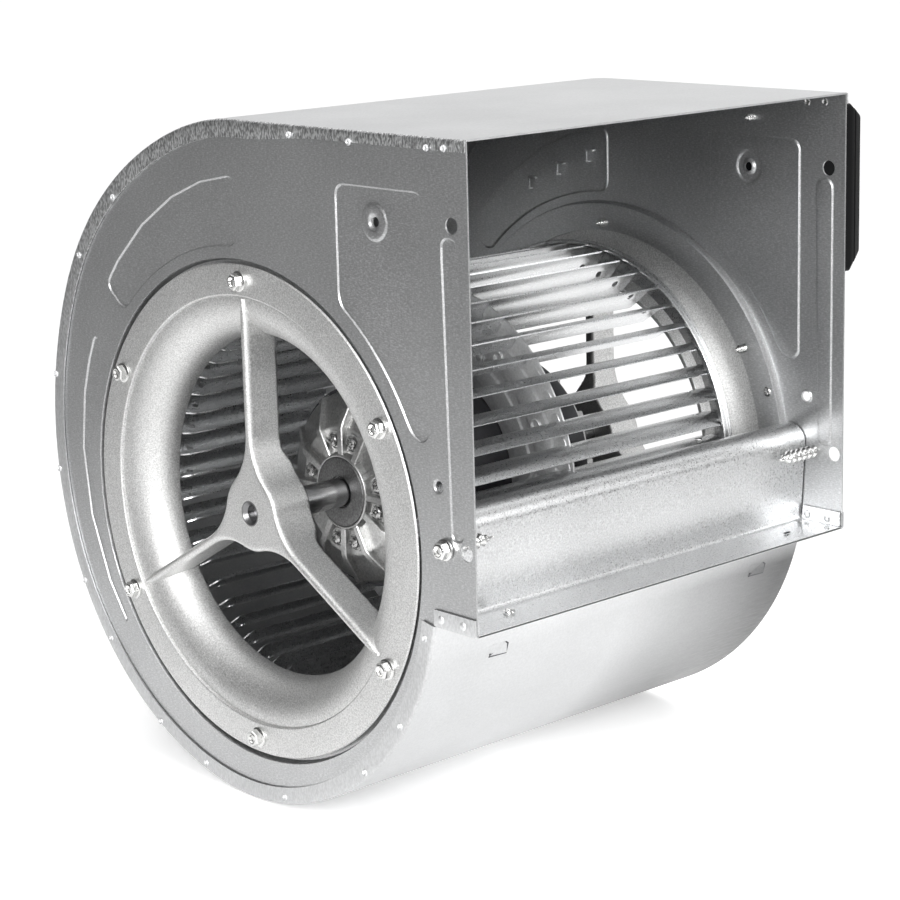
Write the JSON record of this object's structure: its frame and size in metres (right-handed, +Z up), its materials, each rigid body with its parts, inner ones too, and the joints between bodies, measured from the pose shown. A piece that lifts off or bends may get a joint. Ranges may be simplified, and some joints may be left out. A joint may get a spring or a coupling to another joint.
{
  "type": "double inlet centrifugal blower",
  "caption": "Double inlet centrifugal blower: sheet metal scroll casing with a front outlet, cast inlet rings, a forward-curved wheel and a motor inside the wheel.",
  "frame": {"origin": "on the fan axis, midway between the two side plates", "axes": "+X along the fan axis towards the side with the terminal box, the outlet faces -Y, +Z is up"},
  "size_m": [0.363, 0.3777, 0.3947],
  "materials": {
    "galvanised_sheet": "galvanised sheet with fine rolling streaks",
    "cast_aluminium": "grainy die casting, satin",
    "zinc_plated_steel": "bright zinc plate",
    "bright_steel": "ground",
    "black_steel": "satin black paint",
    "steel_laminations": "stacked laminations",
    "copper_winding": "varnished copper wire",
    "black_plastic": "fine texture",
    "pale_plastic": "smooth"
  },
  "bodies": {
    "casing": {"scroll_wrap": "galvanised_sheet", "cutoff_plate": "galvanised_sheet", "side_plate_left": "galvanised_sheet", "inlet_ring_left": "cast_aluminium", "cutoff_bolt_left": "zinc_plated_steel", "inlet_screw_left_1": "zinc_plated_steel", "inlet_screw_left_2": "zinc_plated_steel", "inlet_screw_left_3": "zinc_plated_steel", "inlet_screw_left_4": "zinc_plated_steel", "inlet_screw_left_5": "zinc_plated_steel", "inlet_screw_left_6": "zinc_plated_steel", "side_plate_right": "galvanised_sheet", "inlet_ring_right": "cast_aluminium", "cutoff_bolt_right": "zinc_plated_steel", "inlet_screw_right_1": "zinc_plated_steel", "inlet_screw_right_2": "zinc_plated_steel", "inlet_screw_right_3": "zinc_plated_steel", "inlet_screw_right_4": "zinc_plated_steel", "inlet_screw_right_5": "zinc_plated_steel", "inlet_screw_right_6": "zinc_plated_steel", "motor_shaft": "bright_steel", "stator_core": "steel_laminations", "stator_winding_left": "copper_winding", "bearing_inner_race_left": "bright_steel", "stator_winding_right": "copper_winding", "bearing_inner_race_right": "bright_steel", "terminal_box_base": "black_plastic", "terminal_box_lid": "black_plastic", "terminal_block": "pale_plastic", "box_lid_screw_1": "zinc_plated_steel", "box_lid_screw_2": "zinc_plated_steel", "box_fixing_screw": "zinc_plated_steel", "cable_gland": "black_plastic"},
    "wheel": {"rotor_core": "steel_laminations", "rotor_shell": "black_steel", "rotor_flange": "black_steel", "centre_disc": "galvanised_sheet", "blade_strip": "galvanised_sheet", "bearing_outer_race_left": "bright_steel", "rotor_cap_left": "cast_aluminium", "wheel_ring_left": "galvanised_sheet", "cap_screw_left_1": "zinc_plated_steel", "cap_screw_left_2": "zinc_plated_steel", "cap_screw_left_3": "zinc_plated_steel", "cap_screw_left_4": "zinc_plated_steel", "cap_screw_left_5": "zinc_plated_steel", "cap_screw_left_6": "zinc_plated_steel", "cap_screw_left_7": "zinc_plated_steel", "cap_screw_left_8": "zinc_plated_steel", "bearing_outer_race_right": "bright_steel", "rotor_cap_right": "cast_aluminium", "wheel_ring_right": "galvanised_sheet", "cap_screw_right_1": "zinc_plated_steel", "cap_screw_right_2": "zinc_plated_steel", "cap_screw_right_3": "zinc_plated_steel", "cap_screw_right_4": "zinc_plated_steel", "cap_screw_right_5": "zinc_plated_steel", "cap_screw_right_6": "zinc_plated_steel", "cap_screw_right_7": "zinc_plated_steel", "cap_screw_right_8": "zinc_plated_steel"}
  },
  "joints": [
    {"name": "wheel_spin", "type": "hinge", "parent": "casing", "child": "wheel", "pos_m": [0, 0, 0], "axis": [1, 0, 0], "continuous": true}
  ]
}
